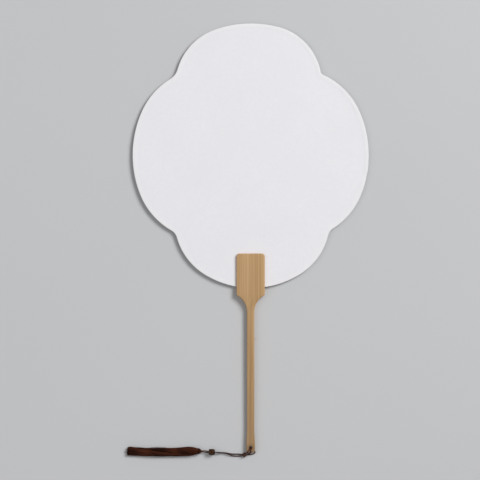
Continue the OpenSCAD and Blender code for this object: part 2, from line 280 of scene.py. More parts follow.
class Finish:
    """One material, with short calls for its nodes. Coordinates are the frame's, in metres."""

    def __init__(self, name, roughness, specular=0.5, **fixed):
        self.material = bpy.data.materials.new(name)
        self.material.use_nodes = True
        self.tree = self.material.node_tree
        self.shader = self.tree.nodes["Principled BSDF"]
        for socket, value in {"Roughness": roughness, "Specular IOR Level": specular, **fixed}.items():
            self.put(self.shader.inputs[socket.replace("_", " ")], value)
        self.place = self.node("TexCoord", {}).outputs["Object"]

    def put(self, socket, value):
        if isinstance(value, bpy.types.NodeSocket):
            self.tree.links.new(value, socket)
        else:
            socket.default_value = value

    def node(self, kind, inputs, **settings):
        made = self.tree.nodes.new("ShaderNode" + kind)
        for setting, value in settings.items():
            setattr(made, setting, value)
        for socket, value in inputs.items():
            self.put(made.inputs[socket], value)
        return made

    def stretched(self, x, y, z):
        return self.node("Mapping", {"Vector": self.place, "Scale": (x, y, z)}).outputs["Vector"]

    def noise(self, vector, scale=1, detail=2, roughness=0.5):
        sockets = {"Vector": vector, "Scale": scale, "Detail": detail, "Roughness": roughness}
        return self.node("TexNoise", sockets).outputs["Fac"]

    def cells(self, vector, scale=1, feature="F1"):
        sockets = {"Vector": vector, "Scale": scale}
        return self.node("TexVoronoi", sockets, feature=feature).outputs["Distance"]

    def remap(self, value, low, high, to_low=0, to_high=1):
        sockets = {"Value": value, "From Min": low, "From Max": high, "To Min": to_low, "To Max": to_high}
        return self.node("MapRange", sockets).outputs["Result"]

    def fading(self, value, until, share):
        """A share at 0 that fades out until the value reaches a point."""
        return self.remap(value, 0, until, share, 0)

    def ramp(self, value, stops):
        made = self.node("ValToRGB", {"Fac": value})
        elements = made.color_ramp.elements
        while len(elements) < len(stops):
            elements.new(0.5)
        for element, (at, colour) in zip(elements, stops):
            element.position = at
            element.color = (*colour, 1)
        return made.outputs["Color"]

    def mix(self, share, a, b, blend="MIX"):
        colours = [c if isinstance(c, bpy.types.NodeSocket) else (*c, 1) for c in (a, b)]
        sockets = dict(zip(MIX_IN, (share, *colours)))
        return self.node("Mix", sockets, data_type="RGBA", blend_type=blend).outputs[MIX_OUT]

    def tinted(self, share, colour, tint):
        """The colour, multiplied by tint where share is 1."""
        return self.mix(share, colour, tint, "MULTIPLY")

    def distance(self, point):
        sockets = {0: self.place, 1: tuple(point)}
        return self.node("VectorMath", sockets, operation="DISTANCE").outputs["Value"]

    def axis(self, name):
        return self.node("SeparateXYZ", {"Vector": self.place}).outputs[name]

    def up_share(self):
        """How far the surface faces up or down the frame's Z, from 1 to -1."""
        normal = self.node("TexCoord", {}).outputs["Normal"]
        return self.node("SeparateXYZ", {"Vector": normal}).outputs["Z"]

    def bump(self, height, depth, under=None):
        sockets = {"Height": height, "Distance": depth, "Strength": 1}
        if under is not None:
            sockets["Normal"] = under
        return self.node("Bump", sockets).outputs["Normal"]

    def done(self, colour, normal=None, roughness=None):
        for socket, value in (("Base Color", colour), ("Normal", normal), ("Roughness", roughness)):
            if value is not None:
                self.put(self.shader.inputs[socket], value)
        return self.material


def shade(colour, amount):
    return tuple(min(1.0, c * amount) for c in colour)


def paper_finish(name, colour):
    """Smooth white paper: a faintly cloudy tone, a few short fibres in it and a fine tooth."""
    f = Finish(name, roughness=0.8, specular=0.3)
    clouds = f.noise(f.place, scale=22, detail=3)
    formation = f.noise(f.place, scale=340, detail=3, roughness=0.6)
    tooth = f.noise(f.place, scale=2600, detail=3, roughness=0.6)
    fibres = f.cells(f.stretched(1, 2.6, 1), scale=300, feature="DISTANCE_TO_EDGE")
    threads = f.cells(f.stretched(2.4, 1, 1), scale=420, feature="DISTANCE_TO_EDGE")
    tone = f.mix(f.remap(clouds, low=0.35, high=0.65), shade(colour, 0.985), shade(colour, 1.008))
    tone = f.mix(f.remap(formation, low=0.35, high=0.7, to_high=0.7), tone, shade(colour, 0.965))
    tone = f.mix(f.fading(fibres, until=0.03, share=0.35), tone, shade(colour, 1.04))
    tone = f.mix(f.fading(threads, until=0.02, share=0.25), tone, shade(colour, 0.93))
    soft = f.bump(formation, depth=0.03 * MM)
    fibrous = f.bump(f.fading(fibres, until=0.05, share=1), depth=0.005 * MM, under=soft)
    roughness = f.remap(formation, low=0.3, high=0.7, to_low=0.74, to_high=0.86)
    return f.done(tone, f.bump(tooth, depth=0.03 * MM, under=fibrous), roughness)


BOARD_DARK, BOARD_LIGHT = (0.5, 0.46, 0.39), (0.66, 0.62, 0.54)


def card_finish():
    """Grey-buff board of pressed pulp."""
    f = Finish("card", roughness=0.9, specular=0.2)
    layers = f.noise(f.stretched(1, 1, 9), scale=600, detail=4, roughness=0.7)
    tone = f.ramp(layers, [(0.3, BOARD_DARK), (0.7, BOARD_LIGHT)])
    return f.done(tone, f.bump(layers, depth=0.03 * MM))


# Bamboo from the butt to the head: where along it each colour lies
BAMBOO = [
    (0, (0.35, 0.225, 0.116)), (0.35, (0.42, 0.268, 0.131)), (0.72, (0.488, 0.314, 0.155)),
    (1, (0.52, 0.332, 0.163)),
]
# Tints of its broad bands, dark and pale streaks, fibre bundles and fine hairs, and a painted highlight on
# the rounded edges, where the surface faces sideways
BAND_TINT, STREAK_TINT, PALE_TINT = (0.88, 0.85, 0.8), (0.87, 0.83, 0.77), (1.07, 1.07, 1.08)
BUNDLE_TINT, HAIR_TINT, EDGE_HIGHLIGHT_TINT = (0.72, 0.62, 0.5), (1.12, 1.13, 1.15), (1.1, 1.09, 1.05)
# Darker colour for the hole: painted shade on its walls, and grime round its mouth
HOLE_SHADE_AND_GRIME = (0.12, 0.06, 0.035)


def bamboo_finish():
    """Split bamboo: pale flesh with long fibre bundles, darker and smoother where the hand holds it."""
    f = Finish("bamboo", roughness=0.42, specular=0.4, Coat_Weight=0.05, Coat_Roughness=0.3)
    along = f.remap(f.axis("Y"), handle_low.y, handle_high.y)
    body = f.ramp(along, BAMBOO)
    bands = f.noise(f.stretched(250, 1.6, 250), detail=1)
    body = f.tinted(f.remap(bands, low=0.62, high=0.36), body, BAND_TINT)
    streaks = f.noise(f.stretched(820, 4, 820))
    body = f.tinted(f.remap(streaks, low=0.5, high=0.66), body, STREAK_TINT)
    body = f.tinted(f.remap(streaks, low=0.46, high=0.34), body, PALE_TINT)
    bundles = f.cells(f.stretched(1250, 6, 1250))
    body = f.tinted(f.remap(bundles, low=0.14, high=0.3, to_low=0.75, to_high=0), body, BUNDLE_TINT)
    hairs = f.noise(f.stretched(3600, 30, 3600), detail=3, roughness=0.6)
    body = f.tinted(f.remap(hairs, low=0.45, high=0.75, to_high=0.6), body, HAIR_TINT)
    # Painted highlight: lighter where the surface turns sideways, on the rounded edges
    slant = f.node("Math", {0: f.up_share()}, operation="ABSOLUTE").outputs["Value"]
    body = f.tinted(f.remap(slant, low=0.97, high=0.6, to_high=0.7), body, EDGE_HIGHLIGHT_TINT)
    # Darker inside and round the hole: painted shade on its walls, and grime round its mouth
    from_hole = f.distance((0, HOLE_Y, MID_Z))
    hole_shade_and_grime = f.remap(from_hole, low=HOLE_D * 0.75, high=HOLE_D * 1.7, to_low=0.5, to_high=0)
    body = f.mix(hole_shade_and_grime, body, HOLE_SHADE_AND_GRIME)
    fine = f.bump(hairs, depth=0.03 * MM)
    grain = f.bump(f.remap(bundles, low=0.1, high=0.32), depth=0.02 * MM, under=fine)
    return f.done(body, grain, f.remap(along, low=0.1, high=0.8, to_low=0.36, to_high=0.5))


SHEEN_TINT, GLOSS_TINT = (0.8, 0.45, 0.3, 1), (1, 0.72, 0.58, 1)


def silk_finish(name, dark, light, bright, across, spots):
    """Dyed silk from dark to light, its finest threads across them, and a painted highlight, the colour
    bright, where the tone and the patches call for it. Across is the count of threads in a metre and spots
    that of the changes of tone."""
    f = Finish(name, roughness=0.5, specular=0.14, Sheen_Weight=0.05, Sheen_Roughness=0.4,
               Sheen_Tint=SHEEN_TINT, Specular_Tint=GLOSS_TINT)
    own = f.node("Attribute", {}, attribute_name="tone").outputs["Fac"]
    threads = f.noise(f.stretched(across * 0.03, across, across), detail=3, roughness=0.6)
    fine = f.noise(f.stretched(across * 0.3, across * 5, across * 5))
    patches = f.noise(f.place, scale=spots, detail=1)
    tone = f.ramp(f.remap(threads, low=0.25, high=0.75), [(0, dark), (1, light)])
    # Painted highlight, by the piece's tone and in patches
    tone = f.mix(f.remap(own, low=0.1, high=1.1, to_high=0.75), tone, bright)
    tone = f.mix(f.remap(patches, low=0.52, high=0.7, to_high=0.6), tone, bright)
    tone = f.mix(f.remap(fine, low=0.35, high=0.75, to_high=0.3), tone, shade(light, 1.4))
    return f.done(tone, f.bump(fine, depth=0.02 * MM))


def set_tone(piece, values):
    """How bright the silk is at each point of a piece, from 0 to 1: how much of the painted highlight it
    takes.
    """
    values = np.broadcast_to(np.ravel(values), len(piece.data.vertices)).astype(np.float32)
    piece.data.attributes.new("tone", "FLOAT", "POINT").data.foreach_set("value", values)


def add_to(piece, points, faces):
    """Adds a separate closed shell to a piece's mesh."""
    shape = bmesh.new()
    shape.from_mesh(piece.data)
    corners = [shape.verts.new(p) for p in points]
    made = [shape.faces.new([corners[i] for i in face]) for face in faces]
    bmesh.ops.recalc_face_normals(shape, faces=made)
    shape.to_mesh(piece.data)
    shape.free()


def finish_piece(piece, material, slot, bodies, *nodes):
    """Gives a piece its material, the bodies it follows and the solids it stands for. The slot argument is
    not used.
    """
    piece.data.materials.append(material)
    if bodies:
        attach(piece, bodies)
    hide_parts(*nodes)


def camera():
    """Straight above the fan, with a long lens, so that heights shift nothing sideways."""
    data = bpy.data.cameras.new("camera")
    data.lens, data.sensor_width = LENS_MM, SENSOR_MM
    data.clip_start, data.clip_end = CLIP_NEAR, CLIP_FAR
    thing = placed("camera", data)
    thing.location = (*VIEW_MIDDLE, VIEW_WIDTH * LENS_MM / SENSOR_MM + face_high.z)
    bpy.context.scene.camera = thing


# The cords

# Points along them, in millimetres: as in the solids, but for the hitch's arch, the legs' ends inside the
# knot and the link's lower strand, which lies beside the upper one
HITCH_LEFT = [
    (-6.9, -216.75, 2), (-6.2, -216.65, 2.2), (-5.3, -216.2, 3.3), (-4.6, -215.7, 4.8),
    (-3.9, -214.9, 5.9), (-2.6, -213.3, 6.3), (-1.5, -212, 6.3), (-0.9, -211.2, 6.2), (-0.7, -210.6, 5.6),
    (-0.7, -210.4, 4.6), (-0.7, -210.4, 2.2), (-0.7, -210.7, 1.3), (-0.9, -211.5, 0.8),
    (-1.8, -212.8, 0.75), (-3.2, -214.6, 0.8), (-4.3, -215.9, 0.9),
]
HITCH_RIGHT = [
    (-3.6, -217.3, 0.8), (-1.5, -217, 0.7), (1, -216.7, 0.7), (3.2, -216.1, 0.7), (4.4, -215, 0.7),
    (4, -213.6, 0.75), (2.6, -212.4, 0.75), (1.2, -211.5, 0.8), (0.75, -210.7, 1.3), (0.7, -210.4, 2.2),
    (0.7, -210.4, 4.6), (0.65, -210.6, 5.6), (0.5, -211.2, 6.2), (0.3, -212, 6.3), (0.1, -213.4, 6.3),
    (-0.1, -214.7, 5.8), (-0.4, -215.2, 4.4), (-1.4, -215.8, 3.3), (-2.6, -216.5, 3), (-3.5, -217, 2.9),
    (-4.6, -217.5, 2.6), (-5.6, -217.9, 2.2), (-6.9, -218.05, 2),
]
LEG_INNER = [
    (-6.6, -216.75, 2), (-7.6, -216.75, 2), (-10, -216.55, 1.1), (-12.5, -216.5, 0.7),
    (-15.5, -216.5, 0.65), (-18.5, -216.4, 0.65), (-21.5, -216, 0.65), (-24.5, -215.4, 0.65),
    (-27.5, -215.1, 0.75), (-30.5, -215, 1.35), (-33, -214.7, 2.4), (-34.1, -214.6, 2.85),
    (-35.1, -214.6, 2.9), (-36.1, -214.5, 3.1), (-37.2, -214.4, 3.3),
]
LEG_OUTER = [
    (-6.6, -218.05, 2), (-7.6, -218.05, 2), (-10, -218.4, 1.1), (-12.5, -218.5, 0.7),
    (-15.5, -218.5, 0.65), (-17.5, -218.35, 0.8), (-19.5, -217.8, 1.3), (-21.5, -217, 1.8),
    (-24.5, -215.8, 2), (-27.5, -215.15, 2.1), (-30.5, -215, 2.75), (-33, -214.7, 3.9),
    (-34.1, -214.5, 4.25), (-35.1, -214.5, 4.3), (-36.1, -214.4, 4.1), (-37.2, -214.3, 3.9),
]
ARCH = [
    (-5.4, -215.65, 1.1), (-6.3, -215.4, 1.7), (-6.8, -215.5, 2.6), (-6.95, -216.3, 3.3), (-7, -217.4, 3.45),
    (-6.95, -218.6, 3.25), (-6.75, -219.3, 2.3), (-6.2, -219.2, 1.3), (-5.2, -218.4, 0.8),
]
ARCH_MIDDLE = (-6.6, -217.4, 2.6)
LINK = [
    (-40.6, -214.3, 3.9), (-42.3, -213.9, 4.1), (-44.4, -213.3, 4), (-46.8, -213.1, 3.95), (-49, -213.3, 4),
    (-50.6, -213.4, 3.9), (-51.3, -213.4, 3.25), (-50.6, -213.5, 2.6), (-49, -213.9, 2.5),
    (-46.8, -214.4, 2.5), (-44.4, -214.6, 2.6), (-42.3, -214.6, 2.8), (-40.6, -214.4, 3.1),
]
# A painted highlight on the hitch's arch: its tone, and its reach in metres
ARCH_HIGHLIGHT_TONE, ARCH_HIGHLIGHT_R = 0.95, 2.6 * MM
# Tones of the link's lower strand, darkened with painted shade, and of its upper one, lightened with a
# painted highlight, and the heights where one passes into the other
LINK_SHADE_TONE, LINK_HIGHLIGHT_TONE = 0.1, 0.7
LINK_LOWER_Z, LINK_STEP_Z = 2.7 * MM, 0.9 * MM


def metres(points):
    return np.array(points) * MM


def arch_highlight(points):
    """Tone of the cord: a painted highlight on the arch of the hitch."""
    return ARCH_HIGHLIGHT_TONE * np.exp(-(lengths(points - metres(ARCH_MIDDLE)) / ARCH_HIGHLIGHT_R) ** 2)


def hitch(material):
    """The cord through the butt's hole: down both sides, and round its own two legs in an arch."""
    points, faces = twisted_cord(through(metres(HITCH_LEFT + ARCH + HITCH_RIGHT)), CORD_D)
    piece = mesh_object("hitch_cord", points, faces)
    # Painted highlight near the hitch's arch
    set_tone(piece, arch_highlight(points))
    finish_piece(piece, material, "cord", None, "hitch_loop", "hitch_turn")
    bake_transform(piece)


def leg(name, route, material, node, turn):
    line = through(metres(route))
    points, faces = twisted_cord(line, CORD_D, start_turn=turn)
    piece = mesh_object(name, points, faces)
    # Painted highlight near the hitch's arch
    set_tone(piece, arch_highlight(points))
    finish_piece(piece, material, "cord", None, node)
    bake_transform(piece)


def legs(material):
    leg("leg_cord_inner", LEG_INNER, material, "cord_leg_inner", turn=0.4)
    leg("leg_cord_outer", LEG_OUTER, material, "cord_leg_outer", turn=1.3)


KNOT_LEADS, KNOT_BIGHTS, KNOT_START, KNOT_STEPS = 3, 4, 0.5, 720
KNOT_R, KNOT_WEAVE, KNOT_STRETCH, KNOT_SPREAD = 2.42 * MM, 0.42 * MM, 1.3, math.radians(49)
KNOT_CORD_D, KNOT_PAIR = 1.12 * MM, 0.54 * MM
# Painted highlights on its silk: where they lie, in millimetres, and how far they reach
KNOT_HIGHLIGHTS, KNOT_HIGHLIGHT_R = [(-36.6, -212.4, 5), (-38.2, -216.3, 5), (-40.8, -215.8, 4.6)], 1.5 * MM
KNOT_TONE, KNOT_HIGHLIGHT_TONE = 0.1, 0.8
# The core inside the weave
CORE_R, CORE_LONG, CORE_ROWS, CORE_AROUND = KNOT_R - 0.15 * MM, 1.15, 13, 24


def woven_line(t):
    """Where the knot's doubled cord runs: three times round the ball, over and under itself."""
    up = KNOT_SPREAD * np.cos(KNOT_BIGHTS * t)
    round_at = KNOT_LEADS * t + KNOT_START
    r = KNOT_R + KNOT_WEAVE * np.sin(2 * KNOT_BIGHTS * t)
    return np.stack([
        KNOT_STRETCH * r * np.sin(up), r * np.cos(up) * np.cos(round_at), r * np.cos(up) * np.sin(round_at)
    ], 1)


def knot_core():
    """A longish ball that fills the weave."""
    up = np.linspace(-1, 1, CORE_ROWS + 2)[1:-1, None] * QUARTER
    ring = round_angles(CORE_AROUND)
    ways = np.broadcast_arrays(CORE_LONG * np.sin(up), np.cos(up) * np.cos(ring), np.cos(up) * np.sin(ring))
    return np.stack(ways, -1) * CORE_R + KNOT_AT, loft_faces(CORE_ROWS, CORE_AROUND)


def knot(material):
    """A woven button knot: two cords side by side that pass over and under themselves round a core."""
    line = woven_line(np.linspace(0, TURN, KNOT_STEPS + 1))
    way = closed_way(line)
    way[0] = way[-1] = unit(line[1] - line[-2])
    aside = unit(np.cross(way, unit(line)))
    parts = [
        twisted_cord(line + side * KNOT_PAIR * aside + KNOT_AT, KNOT_CORD_D, start_turn=side)
        for side in (-1, 1)
    ]
    points, faces = joined(parts + [knot_core()])
    piece = mesh_object("woven_knot", points, faces, sharp_deg=60)
    # Painted highlights on the knot's lobes
    knot_highlight = sum(np.exp(-(lengths(points - spot) / KNOT_HIGHLIGHT_R) ** 2) for spot in metres(KNOT_HIGHLIGHTS))
    set_tone(piece, KNOT_TONE + KNOT_HIGHLIGHT_TONE * np.clip(knot_highlight, 0, 1))
    finish_piece(piece, material, "cord", "knot", "button_knot")


def link(material):
    """The doubled strand from the knot, which turns back inside the tassel's head."""
    points, faces = twisted_cord(through(metres(LINK)), CORD_D)
    piece = mesh_object("link_cord", points, faces)
    # Painted shade on the lower strand, painted highlight on the upper one
    upper = smooth_step((points[..., 2] - LINK_LOWER_Z) / LINK_STEP_Z)
    set_tone(piece, LINK_SHADE_TONE + (LINK_HIGHLIGHT_TONE - LINK_SHADE_TONE) * upper)
    finish_piece(piece, material, "cord", "knot", "link_loop")


# The tassel

STRANDS, STRAND_R, SPREAD_ANGLE = 500, 0.16 * MM, 2.399963
# Rings of a strand in the head, from this angle on its dome, and in the skirt, closer together near the head
HEAD_RINGS, DOME_START, SKIRT_RINGS, RING_CROWDING = 8, 0.2, 34, 1.45
SKIRT_W, SKIRT_H, SKIRT_BOW = 9.8 * MM, 5.8 * MM, 1 * MM
SKIRT_TWIST, SKIRT_THINNING = -2.5, 0.6 * MM
NECK_FROM, NECK_OVER = 0.8 * DOME_R, 1.5 * MM
# Distances from the tassel's top: where the binding starts, where the skirt opens and over what length
BIND_FROM, OPENS_FROM, OPENS_OVER = 2 * MM, 3.3 * MM, 10 * MM
SKIRT_END = -122.9 * MM
TOP_X, BASE_X = head_high.x, head_low.x
HEAD_Y, HEAD_Z = (head_low.y + head_high.y) / 2, (head_low.z + head_high.z) / 2
HEAD_R = 2.75 * MM

# Locks of the skirt: how far out in the bundle each lies, and at what angle in degrees
LOCKS = [(0.62, 40 * k + 12) for k in range(9)] + [(0.2, 100), (0.2, 220), (0.2, 340)]
# Painted sheen of each lock, as a tone from 0 to 1
LOCK_SHEEN_TONES = (0, 0.7, 0.15, 0, 1, 0.25, 0, 0.5, 0.1, 0.2, 0.1, 0.3)
LOCK_TONE_SHARE, OWN_TONES, STRAY_TONE = 0.75, 0.35, 0.85
# A painted highlight makes the skirt brighter below the binding
HEAD_HIGHLIGHT_TONE, HEAD_HIGHLIGHT_FROM_TOP, HEAD_HIGHLIGHT_REACH = 0.55, 6 * MM, 6 * MM

# How strands fill the section, how far they start out of place, and how the cut end scatters and slants
FULLNESS, START_SCATTER, CUT_SCATTER, CUT_SLANT = 0.97, 0.12, 0.4 * MM, 0.5 * MM
# Share of the skirt over which they come loose, how far each lock turns and gathers, and how it sways
LOOSE_BY, LOCK_TURNS, LOCK_GATHERS, SWAY, SWAY_WAVES = 0.4, 1.6, 0.3, 0.07, (7, 5.5)
# Each strand's own two waves, and the splay of its end
WAVES, WAVE_COUNTS, SPLAY, SPLAY_FROM = (0.018, 0.012), (12.5, 30), 0.05, 0.93
STRAND_SEED, THINNEST, THICKEST = 5, 0.85, 1.15


def bundle(x):
    """The bundle of strands at each x: its half width, half height and the middle's y and z."""
    from_top = TOP_X - x
    dome = np.sqrt(np.clip(1 - (1 - np.clip(from_top / DOME_R, 0, 1)) ** 2, 0, 1))
    head = DOME_R * dome + (HEAD_R - DOME_R) * smooth_step((from_top - NECK_FROM) / NECK_OVER)
    u = np.clip((BASE_X - x) / (BASE_X - SKIRT_END), 0, 1)
    full = np.sin(QUARTER * np.clip((from_top - OPENS_FROM) / OPENS_OVER, 0, 1))
    half_w = head + (SKIRT_W / 2 - HEAD_R) * full
    half_h = head + (SKIRT_H / 2 - SKIRT_THINNING * u ** 3 - HEAD_R) * full
    y = HEAD_Y - SKIRT_BOW * np.sin(math.pi * u)
    z = HEAD_Z + (FLOOR_GAP + half_h - HEAD_Z) * full
    return half_w, half_h, y, z


def spin(p, angle):
    """Places in the bundle's section, turned about its middle."""
    c, s = np.cos(angle), np.sin(angle)
    return np.stack([c * p[..., 0] - s * p[..., 1], s * p[..., 0] + c * p[..., 1]], -1)


def ring_x(reach):
    """Where each strand's rings lie: close together round the dome, then wider apart to its cut end."""
    dome = TOP_X - DOME_R * (1 - np.cos(np.linspace(DOME_START, QUARTER, HEAD_RINGS)))
    skirt = dome[-1] + (reach[:, None] - dome[-1]) * np.linspace(0, 1, SKIRT_RINGS + 1)[1:] ** RING_CROWDING
    return np.hstack([np.broadcast_to(dome, (len(reach), HEAD_RINGS)), skirt])


def on_bundle(x, p):
    """Points of the frame from x and places in the bundle's section, a strand's radius above the floor."""
    half_w, half_h, y, z = bundle(x)
    z = np.maximum(z + (half_h - STRAND_R) * p[..., 1], FLOOR_GAP + STRAND_R)
    return np.stack([x, y + (half_w - STRAND_R) * p[..., 0], z], -1)


def lock_middles():
    return np.array([(r * math.cos(math.radians(a)), r * math.sin(math.radians(a))) for r, a in LOCKS])


def strand_paths(draw):
    """Strands gathered into locks that turn and sway on their way to the cut end, and their tones."""
    k = np.arange(STRANDS) + 0.5
    rho = np.sqrt(k / STRANDS) * FULLNESS
    phi = k * SPREAD_ANGLE + draw.normal(0, START_SCATTER, STRANDS)
    own = np.stack([rho * np.cos(phi), rho * np.sin(phi)], 1)
    middles = lock_middles()
    lock = np.argmin(lengths(own[:, None] - middles), axis=1)
    x = ring_x(SKIRT_END + draw.normal(0, CUT_SCATTER, STRANDS) - CUT_SLANT * own[:, 0])
    u = np.clip((BASE_X - x) / (BASE_X - SKIRT_END), 0, 1)
    loose = smooth_step(u / LOOSE_BY)
    lock_turn = draw.uniform(-LOCK_TURNS, LOCK_TURNS, len(LOCKS))[lock][:, None]
    sway = draw.uniform(0, TURN, (len(LOCKS), 2))[lock]
    swing = [np.sin(SWAY_WAVES[0] * u + sway[:, :1]), np.cos(SWAY_WAVES[1] * u + sway[:, 1:])]
    middle = middles[lock][:, None]
    gathered = spin((own[:, None] - middle) * (1 - LOCK_GATHERS * loose[..., None]), lock_turn * u)
    p = spin(middle + gathered + np.stack(swing, -1) * SWAY * loose[..., None], SKIRT_TWIST * u)
    phase = draw.uniform(0, TURN, (STRANDS, 4))
    splay = SPLAY * np.maximum(u - SPLAY_FROM, 0) / (1 - SPLAY_FROM)
    for side in (0, 1):
        own_phases = phase[:, [side]], phase[:, [side + 2]]
        waves = sum(a * np.sin(n * u + turn) for a, n, turn in zip(WAVES, WAVE_COUNTS, own_phases))
        p[..., side] += (waves + splay * np.sin(own_phases[0])) * loose
    p = p / np.maximum(lengths(p)[..., None], 1)
    # Painted sheen by lock, and a random tone for each strand
    tone = np.array(LOCK_SHEEN_TONES)[lock] * LOCK_TONE_SHARE + draw.uniform(0, OWN_TONES, STRANDS)
    return on_bundle(x, p), tone


# Strands out of place, in millimetres: one past the cut end, one along the upper edge and a hooked lock
STRAY_END = [
    (-104, -214.4, 3), (-112, -214.7, 4.3), (-118, -214.8, 4.6), (-122, -214.6, 2.6), (-124.4, -214.5, 0.6),
    (-126.4, -214.6, 0.3),
]
STRAY_EDGE = [
    (-78, -211.6, 3), (-84, -210.3, 2.2), (-89, -209.65, 1.2), (-94, -209.55, 1.1), (-98.5, -209.9, 1.5),
    (-104, -211.4, 2.6),
]
HOOK = [
    (-106, -211.4, 2.4), (-112, -210.6, 3), (-117, -209.9, 3.9), (-120.3, -209.3, 4.5), (-121.9, -209.7, 4.9),
    (-122.4, -210.8, 5),
]
HOOK_STRANDS, HOOK_SCATTER, HOOK_SCATTER_SHARES = 7, 0.16, (0.4, 1, 1)


def stray_paths(draw):
    rings = HEAD_RINGS + SKIRT_RINGS
    routes = [STRAY_END, STRAY_EDGE]
    for _ in range(HOOK_STRANDS):
        routes.append(np.array(HOOK) + draw.normal(0, HOOK_SCATTER, 3) * HOOK_SCATTER_SHARES)
    return np.array([evenly(through(metres(route)), rings) for route in routes])


def tassel(material):
    draw = np.random.default_rng(STRAND_SEED)
    paths, tone = strand_paths(draw)
    strays = stray_paths(draw)
    tone = np.concatenate([tone, np.full(len(strays), STRAY_TONE)])
    radii = STRAND_R * draw.uniform(THINNEST, THICKEST, len(tone))
    points, faces = thin_strands(np.concatenate([paths, strays]), radii)
    piece = mesh_object("silk_strands", points, faces, sharp_deg=80)
    # Painted highlight on the skirt just below the head
    head_highlight = np.exp(-((TOP_X - HEAD_HIGHLIGHT_FROM_TOP - points[..., 0]) / HEAD_HIGHLIGHT_REACH) ** 2)
    set_tone(piece, tone[:, None, None] + HEAD_HIGHLIGHT_TONE * head_highlight)
    finish_piece(piece, material, "silk", "tassel", "tassel_head", "tassel_skirt")


BIND_THREAD_D, BIND_TURNS, BIND_STEPS = 0.42 * MM, 4, 40
# As shares of the thread: from turn to turn, and from the bundle's edge to the thread's middle
BIND_PITCH, BIND_OUT = 0.98, 0.3
BIND_LAY, BIND_TONE = 1.3 * MM, 0.45


def binding(material):
    """Thread wound round the tassel's neck, turn beside turn."""
    turn = np.linspace(0, BIND_TURNS, BIND_TURNS * BIND_STEPS + 1)
    x = TOP_X - BIND_FROM - turn * BIND_THREAD_D * BIND_PITCH
    half_w, half_h, y, z = bundle(x)
    a = TURN * turn
    out = BIND_THREAD_D * BIND_OUT
    line = np.stack([x, y + (half_w + out) * np.cos(a), z + (half_h + out) * np.sin(a)], 1)
    points, faces = twisted_cord(line, BIND_THREAD_D, plies=2, lay=BIND_LAY, around=8)
    piece = mesh_object("head_binding", points, faces, sharp_deg=60)
    set_tone(piece, BIND_TONE)
    piece.data.materials.append(material)
    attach(piece, "tassel")


# The face: a card, its two papers and the strip folded over the rim

WARP, WARP_FROM, WARP_OVER = 0.62 * MM, 1.5 * MM, 70 * MM
# Shares of it, and how far each one reaches: a bow across the face, and waves up it, across it and aslant
BOW, BOW_HALF = 0.55, 118 * MM
WAVE_UP, WAVE_UP_L, WAVE_UP_FROM = 0.35, 75 * MM, 20 * MM
WAVE_ACROSS, WAVE_ACROSS_L, WAVE_ACROSS_TURN = 0.14, 31 * MM, 1.1
RIPPLE, RIPPLE_UP_L, RIPPLE_ACROSS_L = 0.1, 24 * MM, 52 * MM


def warp(xy):
    """How far the pasted board stands out of true; it is flat where the handle's slot holds it."""
    x, y = xy[..., 0], xy[..., 1]
    from_slot = np.hypot(np.maximum(np.abs(x) - handle_high.x, 0), np.maximum(y - handle_high.y, 0))
    free = smooth_step((from_slot - WARP_FROM) / WARP_OVER)
    bow = BOW * (x / BOW_HALF) ** 2
    up = WAVE_UP * np.sin((y - WAVE_UP_FROM) / WAVE_UP_L)
    across = WAVE_ACROSS * np.sin(x / WAVE_ACROSS_L + WAVE_ACROSS_TURN)
    ripple = RIPPLE * np.sin(y / RIPPLE_UP_L + x / RIPPLE_ACROSS_L)
    return WARP * free * (bow + (across - up) + ripple)


def paper_edge(count):
    """The papers' edge, evenly spaced and turning left, read from the front paper's solid."""
    corners = np.array([v.co[:2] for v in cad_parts["front_paper"].data.vertices])
    corners = np.unique(corners.round(6), axis=0)
    in_order = corners[np.argsort(bearing(corners - FACE_MIDDLE))]
    return evenly(through(in_order, closed=True, pieces=8), count, closed=True)


# Distance between the points inside a sheet, and the least share of it from them to the edge
SHEET_SPACING, EDGE_CLEAR, WELD_2D = 4.5 * MM, 0.75, 1e-8


def filled(edge):
    """Triangles over the inside of an edge: the points, the triangles and which points the edge is."""
    low, high = edge.min(0), edge.max(0)
    rows = np.arange(low[1], high[1], SHEET_SPACING * math.sqrt(0.75))
    across = np.arange(low[0], high[0], SHEET_SPACING)
    grid = np.array([(x + SHEET_SPACING / 2 * (i % 2), y) for i, y in enumerate(rows) for x in across])
    around = edge - FACE_MIDDLE
    angle = bearing(around)
    order = np.argsort(angle)
    spot = grid - FACE_MIDDLE
    limit = np.interp(bearing(spot), angle[order], lengths(around)[order])
    gap = np.min(lengths(grid[:, None] - edge[::5]), axis=1)
    inner = grid[(lengths(spot) < limit) & (gap > EDGE_CLEAR * SHEET_SPACING)]
    count = len(edge)
    borders = [(i, (i + 1) % count) for i in range(count)]
    made = delaunay_2d_cdt([tuple(p) for p in np.vstack([edge, inner])], borders, [], 1, WELD_2D)
    place = {old: new for new, olds in enumerate(made[3]) for old in olds}
    return np.array([tuple(p) for p in made[0]]), [list(f) for f in made[2]], [place[i] for i in range(count)]


def board(name, edge, low, high):
    """A sheet of the face's shape between two heights from its middle."""
    flat, triangles, rim = filled(edge)
    count = len(flat)
    layers = [np.column_stack([flat, MID_Z + h + warp(flat)]) for h in (high, low)]
    under = [[i + count for i in f[::-1]] for f in triangles]
    walls = [[rim[i - 1], rim[i - 1] + count, rim[i] + count, rim[i]] for i in range(len(rim))]
    return mesh_object(name, np.vstack(layers), triangles + under + walls)


FOLD_R = 0.4 * MM
FLAT_SHARES, FOLD_DEGREES = (1, 0.85, 0.65, 0.45, 0.28), (5, 25, 45, 65, 90)
# How much of the lap's lift is left at the strip's inner edge
LIFT_LEFT = 0.3


